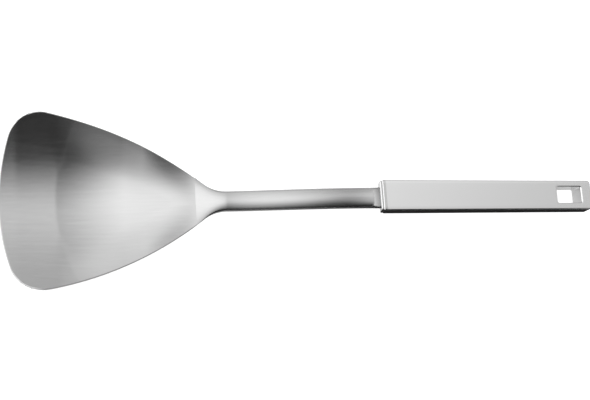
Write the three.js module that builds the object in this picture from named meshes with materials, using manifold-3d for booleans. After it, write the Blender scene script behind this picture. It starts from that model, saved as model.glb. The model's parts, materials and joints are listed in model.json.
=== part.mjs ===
// Steel turner: a dished fan blade, a crowned stem and a hollow handle with a hanging eye.
// Millimetres, +Z up. The tool lies on a table, +X runs to the handle's end and +Y across.
import * as THREE from 'three';
import { mergeVertices } from 'three/addons/utils/BufferGeometryUtils.js';
import Module from 'manifold-3d';

// Handle: two drawn half shells that meet at mid height
const HANDLE_LENGTH = 142;
const HANDLE_WIDTH = 18.4;
const HANDLE_DEPTH = 11.2;
const SHELL_WALL = 0.9;
const LONG_EDGE_RADIUS = 0.5;
const END_EDGE_RADIUS = 0.8;
const FRONT_CORNER_RADIUS = 1.0;
const REAR_CORNER_RADIUS = 2.2;
const END_LEAN = 10;
const LEAST_RADIUS = 0.15;
const SEAM_GAP = 0.1;

// Mouth of the handle, closed by a cap plate that the stem passes through
const CAP_THICKNESS = 1.3;
const CAP_INSET = 0.6;
const CAP_SIDE_INSET = 0.15;
const CAP_CORNER_RADIUS = 1.6;
const FIT_GAP = 0.25;

// Hanging eye, lined by a sleeve with rounded ends
const EYE_LENGTH = 17.1;
const EYE_WIDTH = 10.2;
const EYE_CORNER_RADIUS = 1.0;
const EYE_LIP_RADIUS = 0.9;
const SLEEVE_WALL = 1.5;
const EYE_TO_REAR_END = 8.5;

// Stem: a bar with a crowned top that runs on into the handle as a tang
const STEM_LENGTH = 92.4;
const STEM_WIDTH_AT_MOUTH = 12.6;
const STEM_WIDTH_AT_NECK = 11.9;
const STEM_EDGE = 1.4;
const STEM_EDGE_RADIUS = 1.3;
const STEM_CROWN = 1.1;
const STEM_DROP = 9.6;
const STEM_MOUTH_EASE = 45;
const STEM_NECK_EASE = 31;
const STEM_NECK_DIP = 1.5;
const TANG_LENGTH = 46;
const NECK_RADIUS = 22;
const NECK_LENGTH = 18;

// Blade: a sheet with an arc outline, rolled to a dish across and scooped along
const BLADE_LENGTH = 126.8;
const BLADE_WIDTH = 99.2;
const BLADE_THICKNESS = 1.4;
const FRONT_EDGE_RADIUS = 138;
const CORNER_RADIUS = 18.2;
const SIDE_RADIUS = 206;
const DISH_RADIUS = 102;
const RAMP_LENGTH = 40;
const RAMP_ANGLE = 5.7;
const SCOOP_LENGTH = 38;
const LIP_ANGLE = 2.9;
const MARGIN_WIDTH = 4;
const MARGIN_WALL = 19.4;
const MARGIN_RISE = 1.3;
const MARGIN_START = 79;
const MARGIN_FULL = 42;
const MARGIN_END = 30;
const WELD_GAP = 0.2;

// Fineness of the facets
const ARC_STEPS = 6;
const EDGE_STEPS = 3;
const BLADE_STEPS = 26;
const BLADE_STEPS_ACROSS = 24;
const STEM_STEPS = 34;
const STEM_STEPS_ACROSS = 8;

const wasm = await Module();
wasm.setup();

const steel = (color, roughness) => new THREE.MeshStandardMaterial({ color, roughness, metalness: 1 });

function solidOf(geometry) {
  const bare = geometry.clone();
  bare.deleteAttribute('normal');
  bare.deleteAttribute('uv');
  const merged = mergeVertices(bare, 1e-5);
  return new wasm.Manifold(new wasm.Mesh({
    numProp: 3,
    vertProperties: new Float32Array(merged.attributes.position.array),
    triVerts: new Uint32Array(merged.index.array),
  }));
}

function geometryOf(solid) {
  const mesh = solid.getMesh();
  const geometry = new THREE.BufferGeometry();
  geometry.setAttribute('position', new THREE.BufferAttribute(mesh.vertProperties, 3));
  geometry.setIndex(new THREE.BufferAttribute(mesh.triVerts, 1));
  geometry.computeVertexNormals();
  return geometry;
}

function geometryFrom(points, triangles) {
  const geometry = new THREE.BufferGeometry();
  geometry.setAttribute('position', new THREE.Float32BufferAttribute(points.flat(), 3));
  geometry.setIndex(triangles.flat());
  geometry.computeVertexNormals();
  return geometry;
}

// A closed solid between a top and a bottom grid of points, rows along +X and columns along +Y
function sheetSolid(top, bottom) {
  const rows = top.length;
  const columns = top[0].length;
  const below = rows * columns;
  const points = [...top.flat(), ...bottom.flat()];
  const at = (row, column) => row * columns + column;
  const triangles = [];
  for (let row = 0; row + 1 < rows; row++) {
    for (let column = 0; column + 1 < columns; column++) {
      const a = at(row, column);
      const b = at(row + 1, column);
      const c = at(row + 1, column + 1);
      const d = at(row, column + 1);
      triangles.push([a, b, c], [a, c, d]);
      triangles.push([below + a, below + c, below + b], [below + a, below + d, below + c]);
    }
  }
  const rim = [];
  for (let row = 0; row < rows; row++) rim.push(at(row, 0));
  for (let column = 1; column < columns; column++) rim.push(at(rows - 1, column));
  for (let row = rows - 2; row >= 0; row--) rim.push(at(row, columns - 1));
  for (let column = columns - 2; column > 0; column--) rim.push(at(0, column));
  rim.forEach((a, index) => {
    const b = rim[(index + 1) % rim.length];
    triangles.push([a, below + a, below + b], [a, below + b, b]);
  });
  return geometryFrom(points, triangles);
}

// A closed solid swept through a loop of rings, the last ring joined to the first
function ringSolid(rings) {
  const count = rings[0].length;
  const triangles = [];
  rings.forEach((ring, index) => {
    const here = index * count;
    const there = ((index + 1) % rings.length) * count;
    for (let k = 0; k < count; k++) {
      const next = (k + 1) % count;
      triangles.push([here + k, here + next, there + next], [here + k, there + next, there + k]);
    }
  });
  return geometryFrom(rings.flat(), triangles);
}

// A rectangle from x0 to x1, with one corner radius at x0 and another at x1
function roundedRectangle(x0, x1, halfHeight, radius0, radius1) {
  const shape = new THREE.Shape();
  shape.moveTo(x0 + radius0, -halfHeight);
  shape.lineTo(x1 - radius1, -halfHeight);
  shape.absarc(x1 - radius1, -halfHeight + radius1, radius1, -Math.PI / 2, 0, false);
  shape.lineTo(x1, halfHeight - radius1);
  shape.absarc(x1 - radius1, halfHeight - radius1, radius1, 0, Math.PI / 2, false);
  shape.lineTo(x0 + radius0, halfHeight);
  shape.absarc(x0 + radius0, halfHeight - radius0, radius0, Math.PI / 2, Math.PI, false);
  shape.lineTo(x0, -halfHeight + radius0);
  shape.absarc(x0 + radius0, -halfHeight + radius0, radius0, Math.PI, Math.PI * 1.5, false);
  return shape;
}

function prism(shape, depth) {
  return new THREE.ExtrudeGeometry(shape, { depth, bevelEnabled: false, curveSegments: ARC_STEPS });
}

function block(x0, x1, y0, y1, z0, z1) {
  const geometry = new THREE.BoxGeometry(x1 - x0, y1 - y0, z1 - z0);
  return geometry.translate((x0 + x1) / 2, (y0 + y1) / 2, (z0 + z1) / 2);
}

// Tool frame: x = 0 at the handle's mouth, z = 0 at the handle's mid height
const halfWidth = HANDLE_WIDTH / 2;
const halfDepth = HANDLE_DEPTH / 2;
const endLean = Math.tan(THREE.MathUtils.degToRad(END_LEAN));
const floorHeight = -halfDepth + SHELL_WALL;
const stemFloor = floorHeight + FIT_GAP;
const stemMouthHalf = STEM_WIDTH_AT_MOUTH / 2;
const mouthHalfWidth = stemMouthHalf + FIT_GAP;
const mouthTop = stemFloor + STEM_EDGE + STEM_EDGE_RADIUS + STEM_CROWN + FIT_GAP;

// The handle's outer form, or the same form drawn in by a wall
function handleForm(inset) {
  const corner = (radius, least = LEAST_RADIUS) => Math.max(radius - inset, least);
  const end = HANDLE_LENGTH - inset;
  const bevel = corner(LONG_EDGE_RADIUS);
  const front = corner(FRONT_CORNER_RADIUS, bevel + LEAST_RADIUS);
  const rear = corner(REAR_CORNER_RADIUS, bevel + LEAST_RADIUS);
  const plan = roundedRectangle(inset, end, halfWidth - inset, front, rear);
  const upright = new THREE.ExtrudeGeometry(plan, {
    depth: HANDLE_DEPTH - 2 * inset - 2 * bevel,
    bevelThickness: bevel,
    bevelSize: bevel,
    bevelOffset: -bevel,
    bevelSegments: EDGE_STEPS,
    curveSegments: ARC_STEPS,
  });
  upright.translate(0, 0, -halfDepth + inset + bevel);
  const endRadius = corner(END_EDGE_RADIUS);
  const profile = prism(
    roundedRectangle(inset, end, halfDepth - inset, endRadius, endRadius), HANDLE_WIDTH * 2);
  profile.rotateX(Math.PI / 2).translate(0, HANDLE_WIDTH, 0);
  return solidOf(upright).intersect(solidOf(profile));
}

const eyeCentre = HANDLE_LENGTH - EYE_TO_REAR_END - EYE_LENGTH / 2;

function eyeRing(outset, z) {
  const radius = EYE_CORNER_RADIUS + outset;
  const ring = [];
  for (let quarter = 0; quarter < 4; quarter++) {
    const toX = quarter === 0 || quarter === 3 ? 1 : -1;
    const toY = quarter < 2 ? 1 : -1;
    for (let step = 0; step <= ARC_STEPS; step++) {
      const angle = (quarter + step / ARC_STEPS) * Math.PI / 2;
      const x = toX * (EYE_LENGTH / 2 - EYE_CORNER_RADIUS) + radius * Math.cos(angle);
      const y = toY * (EYE_WIDTH / 2 - EYE_CORNER_RADIUS) + radius * Math.sin(angle);
      ring.push([eyeCentre + x, y, z]);
    }
  }
  return ring;
}

function eyeSleeve() {
  const rings = [eyeRing(SLEEVE_WALL, -halfDepth), eyeRing(SLEEVE_WALL, halfDepth)];
  const lipStep = Math.PI / 2 / EDGE_STEPS;
  const lipOutset = (step) => EYE_LIP_RADIUS * (1 - Math.sin(step * lipStep));
  const lipDrop = (step) => EYE_LIP_RADIUS * (1 - Math.cos(step * lipStep));
  for (let step = 0; step <= EDGE_STEPS; step++) {
    rings.push(eyeRing(lipOutset(step), halfDepth - lipDrop(step)));
  }
  for (let step = EDGE_STEPS; step >= 0; step--) {
    rings.push(eyeRing(lipOutset(step), -halfDepth + lipDrop(step)));
  }
  return ringSolid(rings);
}

function eyeOpening() {
  const outset = SLEEVE_WALL + FIT_GAP;
  const halfLength = EYE_LENGTH / 2 + outset;
  const radius = EYE_CORNER_RADIUS + outset;
  const outline = roundedRectangle(
    eyeCentre - halfLength, eyeCentre + halfLength, EYE_WIDTH / 2 + outset, radius, radius);
  return prism(outline, HANDLE_DEPTH * 2).translate(0, 0, -HANDLE_DEPTH);
}

// Leans both ends of the handle forward at the top, from an upright form
function leanEnds(geometry) {
  const places = geometry.attributes.position;
  const rearStart = HANDLE_LENGTH - EYE_TO_REAR_END / 2;
  for (let k = 0; k < places.count; k++) {
    const x = places.getX(k);
    if (x < HANDLE_LENGTH / 2 || x > rearStart) places.setX(k, x - endLean * places.getZ(k));
  }
  geometry.computeVertexNormals();
  return geometry;
}

function handleShells() {
  const mouthDepth = SHELL_WALL + END_EDGE_RADIUS;
  const mouth = block(-1, mouthDepth, -mouthHalfWidth, mouthHalfWidth, floorHeight, mouthTop);
  const tube = handleForm(0)
    .subtract(handleForm(SHELL_WALL))
    .subtract(solidOf(mouth))
    .subtract(solidOf(eyeOpening()));
  const half = (z0, z1) => {
    const cutter = block(-1, HANDLE_LENGTH + 1, -HANDLE_WIDTH, HANDLE_WIDTH, z0, z1);
    return leanEnds(geometryOf(tube.intersect(solidOf(cutter))));
  };
  return [half(SEAM_GAP / 2, HANDLE_DEPTH), half(-HANDLE_DEPTH, -SEAM_GAP / 2)];
}

// Points of a stem section's top above its underside: a crown between two rounded edges
function sectionTop(half, edge, radius, crown) {
  const flat = half - radius;
  const corner = Array.from({ length: EDGE_STEPS }, (_, k) => {
    const angle = (1 - k / EDGE_STEPS) * Math.PI / 2;
    return [flat + radius * Math.sin(angle), radius * Math.cos(angle)];
  });
  const middle = Array.from({ length: STEM_STEPS_ACROSS + 1 }, (_, k) => {
    return [flat * (2 * k / STEM_STEPS_ACROSS - 1), radius];
  });
  const across = [...corner.map(([y, lift]) => [-y, lift]), ...middle, ...corner.toReversed()];
  return across.map(([y, lift]) => [y, edge + lift + crown * (1 - (y / half) ** 2)]);
}

// A plate in front of the shells, with a hole that follows the stem's section
function frontCap() {
  const across = halfWidth - CAP_SIDE_INSET;
  const plate = roundedRectangle(
    -across, across, halfDepth - CAP_INSET, CAP_CORNER_RADIUS, CAP_CORNER_RADIUS);
  const arch = sectionTop(mouthHalfWidth, STEM_EDGE, STEM_EDGE_RADIUS + FIT_GAP, STEM_CROWN);
  const hole = new THREE.Path();
  hole.moveTo(-mouthHalfWidth, floorHeight);
  arch.forEach(([y, height]) => hole.lineTo(y, stemFloor + height));
  hole.lineTo(mouthHalfWidth, floorHeight);
  plate.holes.push(hole);
  const standing = new THREE.Matrix4().makeBasis(
    new THREE.Vector3(0, 1, 0), new THREE.Vector3(0, 0, 1), new THREE.Vector3(1, 0, 0));
  standing.setPosition(-CAP_THICKNESS - FIT_GAP, 0, 0);
  return leanEnds(prism(plate, CAP_THICKNESS).applyMatrix4(standing));
}

// Blade outline in plan: arcs for the front edge, a corner, a side and the neck, each tangent to the next
const neckX = -STEM_LENGTH;
const jointX = neckX - NECK_LENGTH;
const tipX = neckX - BLADE_LENGTH;
const stemNeckHalf = STEM_WIDTH_AT_NECK / 2;
const frontCentreX = tipX + FRONT_EDGE_RADIUS;
const cornerY = BLADE_WIDTH / 2 - CORNER_RADIUS;
const cornerX = frontCentreX - Math.sqrt((FRONT_EDGE_RADIUS - CORNER_RADIUS) ** 2 - cornerY ** 2);
const neckY = stemNeckHalf + NECK_RADIUS;

// Centre of the side arc, which holds the corner inside it and touches the neck arc outside it
function sideCentre() {
  const reachCorner = SIDE_RADIUS - CORNER_RADIUS;
  const reachNeck = SIDE_RADIUS + NECK_RADIUS;
  const spanX = neckX - cornerX;
  const spanY = neckY - cornerY;
  const span = Math.hypot(spanX, spanY);
  const along = (reachCorner ** 2 - reachNeck ** 2 + span ** 2) / (2 * span);
  const away = Math.sqrt(reachCorner ** 2 - along ** 2);
  return new THREE.Vector2(
    cornerX + (along * spanX + away * spanY) / span,
    cornerY + (along * spanY - away * spanX) / span);
}

const side = sideCentre();
const frontAngle = Math.PI - Math.atan2(cornerY, frontCentreX - cornerX);
const sideAngle = Math.atan2(cornerY - side.y, cornerX - side.x);
const cornerAngle = (frontAngle + sideAngle) / 2;
const neckArcX = side.x + SIDE_RADIUS * (neckX - side.x) / (SIDE_RADIUS + NECK_RADIUS);

// Half width of the blade's rear, the neck and the stem at x
function halfWidthAt(x) {
  if (x < neckArcX) return side.y + Math.sqrt(SIDE_RADIUS ** 2 - (x - side.x) ** 2);
  if (x < neckX) return neckY - Math.sqrt(NECK_RADIUS ** 2 - (x - neckX) ** 2);
  const share = Math.min((x - neckX) / STEM_LENGTH, 1);
  return THREE.MathUtils.lerp(STEM_WIDTH_AT_NECK, STEM_WIDTH_AT_MOUTH, share) / 2;
}

// Underside of the stem, from the joint with the blade to the mouth, then level along the tang
const stemLine = new THREE.CubicBezierCurve(
  new THREE.Vector2(jointX, stemFloor - STEM_DROP),
  new THREE.Vector2(jointX + STEM_NECK_EASE, stemFloor - STEM_DROP - STEM_NECK_DIP),
  new THREE.Vector2(-STEM_MOUTH_EASE, stemFloor),
  new THREE.Vector2(0, stemFloor));

// Height of the blade's underside on its centre line
const rampSlope = Math.tan(THREE.MathUtils.degToRad(RAMP_ANGLE));
const lipSlope = Math.tan(THREE.MathUtils.degToRad(LIP_ANGLE));
const scoopStart = jointX - RAMP_LENGTH;
const creaseX = scoopStart - SCOOP_LENGTH;

function centreHeight(x) {
  const joint = stemFloor - STEM_DROP;
  const ramp = Math.min(jointX - Math.max(x, scoopStart), RAMP_LENGTH);
  const scoop = THREE.MathUtils.clamp(scoopStart - x, 0, SCOOP_LENGTH);
  const bend = (rampSlope + lipSlope) / SCOOP_LENGTH;
  return joint - rampSlope * (ramp + scoop) + bend * scoop ** 2 / 2;
}

function dishRise(y) {
  return DISH_RADIUS - Math.sqrt(DISH_RADIUS ** 2 - y ** 2);
}

// Rise of the margins beside the rear hollow, which run out at the joint and towards the front
function marginRise(x, y) {
  const run = jointX - x;
  if (run >= MARGIN_START) return 0;
  const { smoothstep } = THREE.MathUtils;
  const inward = halfWidthAt(x) - Math.abs(y);
  const along = (1 - smoothstep(run, MARGIN_FULL, MARGIN_START)) * smoothstep(run, 0, MARGIN_END);
  return MARGIN_RISE * along * (1 - smoothstep(inward, MARGIN_WIDTH, MARGIN_WIDTH + MARGIN_WALL));
}

function mirroredAcross(points) {
  const lower = points.slice(1).reverse().map((p) => new THREE.Vector2(p.x, -p.y));
  return [...lower, ...points];
}

// The blade's plan as a grid between its front edge, its two sides and its joint with the stem
function bladePlan() {
  const halfAcross = BLADE_STEPS_ACROSS / 2;
  const frontPath = new THREE.Path();
  frontPath.absarc(frontCentreX, 0, FRONT_EDGE_RADIUS, Math.PI, frontAngle, true);
  frontPath.absarc(cornerX, cornerY, CORNER_RADIUS, frontAngle, cornerAngle, true);
  const sidePath = new THREE.Path();
  const jointAngle = Math.acos((jointX - side.x) / SIDE_RADIUS);
  sidePath.absarc(cornerX, cornerY, CORNER_RADIUS, cornerAngle, sideAngle, true);
  sidePath.absarc(side.x, side.y, SIDE_RADIUS, sideAngle, jointAngle, true);
  const front = mirroredAcross(frontPath.getSpacedPoints(halfAcross));
  const edge = sidePath.getSpacedPoints(BLADE_STEPS);
  const jointHalf = halfWidthAt(jointX);
  return edge.map((sidePoint, row) => front.map((frontPoint, column) => {
    const u = row / BLADE_STEPS;
    const v = column / halfAcross - 1;
    const corner = edge[0];
    const x = (1 - u) * frontPoint.x + u * jointX + sidePoint.x - (1 - u) * corner.x - u * jointX;
    const y = (1 - u) * frontPoint.y + u * jointHalf * v
      + v * (sidePoint.y - (1 - u) * corner.y - u * jointHalf);
    return [x, y];
  }));
}

function blade() {
  const plan = bladePlan();
  const bottom = plan.map((row) => row.map(([x, y]) => {
    return [x, y, centreHeight(x) + dishRise(y) + marginRise(x, y)];
  }));
  const top = bottom.map((row) => row.map(([x, y, z]) => {
    const lean = Math.sqrt(1 - (y / DISH_RADIUS) ** 2);
    return [x, y - BLADE_THICKNESS * y / DISH_RADIUS, z + BLADE_THICKNESS * lean];
  }));
  return sheetSolid(top, bottom);
}

// The stem's section goes from the blade's dished sheet at the joint to a crowned bar past the neck
function stem() {
  const bottom = [];
  const top = [];
  const addSection = (x, z) => {
    const half = halfWidthAt(x);
    const share = THREE.MathUtils.smoothstep(x, jointX, neckX);
    const dish = (1 - share) * dishRise(half) / half ** 2;
    const radius = THREE.MathUtils.lerp(LEAST_RADIUS, STEM_EDGE_RADIUS, share);
    const edge = THREE.MathUtils.lerp(BLADE_THICKNESS - LEAST_RADIUS, STEM_EDGE, share);
    const section = sectionTop(half, edge, radius, share * STEM_CROWN);
    bottom.push(section.map(([y]) => [x, y, z + dish * y ** 2]));
    top.push(section.map(([y, height]) => [x, y, z + dish * y ** 2 + height]));
  };
  stemLine.getSpacedPoints(STEM_STEPS).forEach((p, index) => {
    addSection(index === 0 ? p.x + WELD_GAP : p.x, p.y);
  });
  addSection(TANG_LENGTH, stemFloor);
  return sheetSolid(top, bottom);
}

function named(name, geometry, material) {
  const mesh = new THREE.Mesh(geometry, material);
  mesh.name = name;
  return mesh;
}

const [upperShell, lowerShell] = handleShells();
const tool = new THREE.Group();
tool.add(
  named('blade', blade(), steel(0xb4b4b4, 0.35)),
  named('stem', stem(), steel(0xb4b4b4, 0.3)),
  named('front_cap', frontCap(), steel(0xd8d8d8, 0.15)),
  named('handle_upper_shell', upperShell, steel(0xd0d0d0, 0.15)),
  named('handle_lower_shell', lowerShell, steel(0xd0d0d0, 0.15)),
  named('hanging_eye_sleeve', eyeSleeve(), steel(0xc8c8c8, 0.15)));

// At rest the blade's belly and the handle's rear edge touch the table
const heel = new THREE.Vector2(HANDLE_LENGTH - END_EDGE_RADIUS + endLean * halfDepth, -halfDepth);
const bellySlopes = Array.from({ length: BLADE_STEPS * 4 }, (_, k) => {
  const x = THREE.MathUtils.lerp(tipX, jointX, k / (BLADE_STEPS * 4));
  return (heel.y - centreHeight(x)) / (heel.x - x);
});
tool.rotation.y = Math.atan(Math.max(...bellySlopes));

// Origin below the middle of the tool, on the table
const box = new THREE.Box3().setFromObject(tool, true);
tool.position.set(-(box.min.x + box.max.x) / 2, -(box.min.y + box.max.y) / 2, -box.min.z);

const turner = new THREE.Group();
turner.add(tool);
export default turner;
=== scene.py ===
"""Steel turner: a satin fan blade and stem, and a polished hollow handle with a hanging eye.

Every piece is modelled in the tool's own frame, where x = 0 is the handle's mouth, the blade lies
towards -X, and z = 0 is the handle's mid height. It is then laid down as the tool rests on a table.
"""

import json
import math

import bmesh
import bpy
from bpy.props import FloatProperty, FloatVectorProperty, PointerProperty
from mathutils import Euler, Matrix, Vector


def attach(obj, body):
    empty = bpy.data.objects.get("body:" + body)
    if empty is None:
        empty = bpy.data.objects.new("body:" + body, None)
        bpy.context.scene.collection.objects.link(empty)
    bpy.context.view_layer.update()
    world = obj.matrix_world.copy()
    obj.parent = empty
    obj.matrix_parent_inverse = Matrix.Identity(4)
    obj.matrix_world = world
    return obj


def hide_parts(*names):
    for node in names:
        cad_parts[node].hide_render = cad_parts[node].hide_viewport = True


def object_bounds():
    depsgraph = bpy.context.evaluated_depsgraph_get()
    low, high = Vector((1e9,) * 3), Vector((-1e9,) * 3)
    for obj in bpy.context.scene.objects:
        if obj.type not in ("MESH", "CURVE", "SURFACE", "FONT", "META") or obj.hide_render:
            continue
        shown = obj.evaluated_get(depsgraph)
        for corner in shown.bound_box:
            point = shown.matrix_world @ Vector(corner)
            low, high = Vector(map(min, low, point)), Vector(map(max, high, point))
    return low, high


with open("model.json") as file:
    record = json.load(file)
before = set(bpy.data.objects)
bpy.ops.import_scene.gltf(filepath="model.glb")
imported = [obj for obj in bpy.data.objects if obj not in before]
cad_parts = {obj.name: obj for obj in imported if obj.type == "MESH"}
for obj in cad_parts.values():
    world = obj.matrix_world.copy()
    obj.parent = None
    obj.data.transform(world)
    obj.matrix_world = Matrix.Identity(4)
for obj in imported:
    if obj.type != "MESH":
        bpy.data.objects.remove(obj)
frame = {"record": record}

bl_info = {
    "name": "Steel Turner",
    "version": (1, 0, 0),
    "blender": (4, 5, 0),
    "location": "3D View > Sidebar > Turner",
    "description": "Models a steel kitchen turner piece by piece and lays it on a plain pale floor",
    "category": "Add Mesh",
}

CAD_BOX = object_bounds()
BODY = "root"
MM = 0.001

# Differences below this count as none, and points closer than this become one
TINY = 1e-6
MERGE_DISTANCE = 1e-7

# Faces that meet at less than this look like one curved face
SMOOTH_ANGLE = math.radians(35)

# Where the handle's underside rests in the frame, and how far that point lies behind the mouth
UNDERSIDE = next(mount for mount in frame["record"]["mounts"] if mount["name"] == "handle_underside")
UNDERSIDE_FROM_MOUTH = 60 * MM


def length(name, millimetres, description):
    return FloatProperty(
        name=name, description=description, default=millimetres * MM,
        subtype="DISTANCE", unit="LENGTH")


def angle(name, degrees, description):
    return FloatProperty(
        name=name, description=description, default=math.radians(degrees),
        subtype="ANGLE", unit="ROTATION")


def share(name, default, description):
    return FloatProperty(
        name=name, description=description, default=default,
        subtype="FACTOR", min=0, max=1)


def colour(name, level, description):
    return FloatVectorProperty(
        name=name, description=description, default=(level, level, level),
        subtype="COLOR", min=0, max=1)


class HandleSizes(bpy.types.PropertyGroup):
    """The hollow handle, made of two half shells"""

    length: length("Length", 141.99, "From the mouth to the rear end, at mid height")
    width: length("Width", 18.39, "Across the top face")
    depth: length("Depth", 11.19, "From the underside to the top face")
    wall: length("Wall", 0.9, "Thickness of the shells")
    long_edge: length("Long Edge Radius", 0.5, "Rounding along the handle")
    end_edge: length("End Edge Radius", 0.9, "Rounding across both ends")
    crowned: length("Crowned Band", 2.4, "Band along each long edge where the top face falls")
    crown_angle: angle("Crown Angle", 9, "Fall of the top face at its long edges")
    front_corner: length("Front Corner Radius", 1.0, "Upright corners at the mouth")
    rear_corner: length("Rear Corner Radius", 2.2, "Upright corners at the rear end")
    front_lean: angle("Front Lean", 16, "How far the mouth leans forward at the top")
    rear_lean: angle("Rear Lean", 10, "How far the rear end leans forward at the top")
    seam: length("Seam", 0.004, "Hairline between the two shells")


class MouthSizes(bpy.types.PropertyGroup):
    """The handle's mouth and the cap plate in front of it, which the stem passes through"""

    cap_thickness: length("Cap Thickness", 1.35, "Along the handle")
    cap_inset: length("Cap Inset", 0.6, "From the handle's top and underside in to the cap's edge")
    cap_side_inset: length("Cap Side Inset", 0.15, "From the handle's sides in to the cap's edge")
    cap_gap: length("Cap Gap", 0.08, "Hairline between the cap and the shells")
    cap_corner: length("Cap Corner Radius", 1.2, "Corners of the cap, seen along the handle")
    cap_edge: length("Cap Edge Radius", 0.8, "Rounding of the cap's front face")
    cap_back_edge: length("Cap Back Edge Radius", 0.45, "Rounding of the cap's rear face")
    fit: length("Fit", 0.25, "Clearance that the stem is placed with")
    joint: length("Joint", 0.06, "Hairline between the cap and the stem")
    slope: angle("Slope", 3, "Fall of the top face just behind the mouth")
    slope_reach: length("Slope Reach", 2.5, "From the mouth to where the top face starts to fall")
    slope_turn: length("Slope Turn", 0.15, "Width of the line where the fall starts")


class EyeSizes(bpy.types.PropertyGroup):
    """The hanging eye near the rear end"""

    length: length("Length", 17.1, "Along the handle, between the eye's walls")
    width: length("Width", 10.2, "Across the handle, between the eye's walls")
    corner: length("Corner Radius", 1.0, "Upright corners of the eye")
    lip: length("Lip Radius", 0.45, "Rounding where the eye meets the handle's faces")
    seat_lip: length("Seat Lip Radius", 1.4, "Rounding of the eye's rear end, by which the tool hangs")
    sleeve_wall: length("Sleeve Wall", 1.5, "Thickness of the eye's liner")
    to_rear_end: length("To Rear End", 8.5, "From the eye to the handle's end, at mid height")
    joint: length("Joint", 0.004, "Ground joint between liner and shells")


class StemSizes(bpy.types.PropertyGroup):
    """The bar between blade and handle, with its tang inside the handle"""

    length: length("Length", 92.4, "From the neck to the mouth")
    width_at_mouth: length("Width at Mouth", 12.6, "Across the stem at the handle")
    width_at_neck: length("Width at Neck", 11.9, "Across the stem where it starts to spread")
    edge: length("Edge", 1.4, "Height of the stem's side")
    edge_radius: length("Edge Radius", 1.3, "Rounding above the stem's side")
    crown: length("Crown", 1.1, "Rise of the stem's top between its edges")
    drop: length("Drop", 9.58, "From the mouth down to the blade's joint")
    mouth_ease: length("Mouth Ease", 45, "Reach of the bend at the mouth")
    neck_ease: length("Neck Ease", 31, "Reach of the bend at the neck")
    neck_dip: length("Neck Dip", 1.5, "How far the neck dips behind the joint")
    neck_radius: length("Neck Radius", 22, "Fillet between stem and blade in plan")
    neck_length: length("Neck Length", 18, "From the joint to the straight stem")
    neck_rise: length("Neck Rise", 18, "From the joint to where the stem has its full height")
    tang: length("Tang", 46, "Part of the stem inside the handle")


class BladeSizes(bpy.types.PropertyGroup):
    """The pressed fan blade"""

    length: length("Length", 126.8, "From the neck to the tip")
    width: length("Width", 99.2, "Across the widest place")
    thickness: length("Thickness", 1.4, "Of the sheet")
    front_radius: length("Front Edge Radius", 138, "Arc of the front edge in plan")
    corner_radius: length("Corner Radius", 18.2, "Front corners in plan")
    side_radius: length("Side Radius", 206, "Arc of the sides in plan")
    dish_radius: length("Dish Radius", 102, "Roll across the blade")
    ramp: length("Ramp", 40, "Straight run down from the joint")
    ramp_angle: angle("Ramp Angle", 5.7, "Fall of the ramp")
    scoop: length("Scoop", 38, "Curved run between the ramp and the crease")
    lip_angle: angle("Lip Angle", 2.9, "Rise of the scoop where it meets the crease")
    lip_start_angle: angle("Lip Start Angle", 0.8, "Rise of the lip just past the crease")
    lip_end_angle: angle("Lip End Angle", 2.9, "Rise of the lip at the tip")
    crease: length("Crease", 1.6, "Width of the crease in the middle of the blade")
    crease_fade: length("Crease Fade", 26, "Width of the crease where it has faded out")
    crease_start: length("Crease Start", 16, "From the middle to where the crease starts to fade")
    crease_end: length("Crease End", 36, "From the middle to where the crease has faded out")
    grind: length("Grind", 9.5, "Length of the ground strip behind the tip")
    margin: length("Margin", 4, "Width of the raised margin beside the rear hollow")
    margin_wall: length("Margin Wall", 19.4, "Width of the wall between margin and hollow")
    margin_rise: length("Margin Rise", 1.3, "Height of the margin above the hollow")
    margin_start: length("Margin Start", 79, "From the joint to where the margin starts to rise")
    margin_full: length("Margin Full", 42, "From the joint to where the margin has its full height")
    margin_end: length("Margin End", 30, "From the joint to where the margin starts to run out")
    rim: length("Rim Radius", 0.4, "Rounding of the rim")
    weld: length("Weld", 0.01, "Ground joint between blade and stem")


class SteelFinish(bpy.types.PropertyGroup):
    """The two finishes of the steel"""

    satin: colour("Satin Steel", 0.66, "Reflected colour of the blade and stem")
    satin_roughness: share("Satin Roughness", 0.17, "Roughness of the blade and stem")
    ground_roughness: share("Ground Roughness", 0.055, "Added roughness of the ground front strip")
    ground_blur: length("Ground Blur", 5, "Width of the run from the ground strip to the blade")
    # Painted shade: the stem's tone is darkened towards the corner at the cap
    corner_shade_tone: share("Corner Tone", 0.55, "Tone of the dull steel in the corner between stem and cap")
    corner_reach: length("Corner Reach", 5, "From the mouth to where the stem has its full tone")
    polished: colour("Polished Steel", 0.80, "Reflected colour of the handle")
    polished_roughness: share("Polished Roughness", 0.13, "Roughness of the handle")


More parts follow.
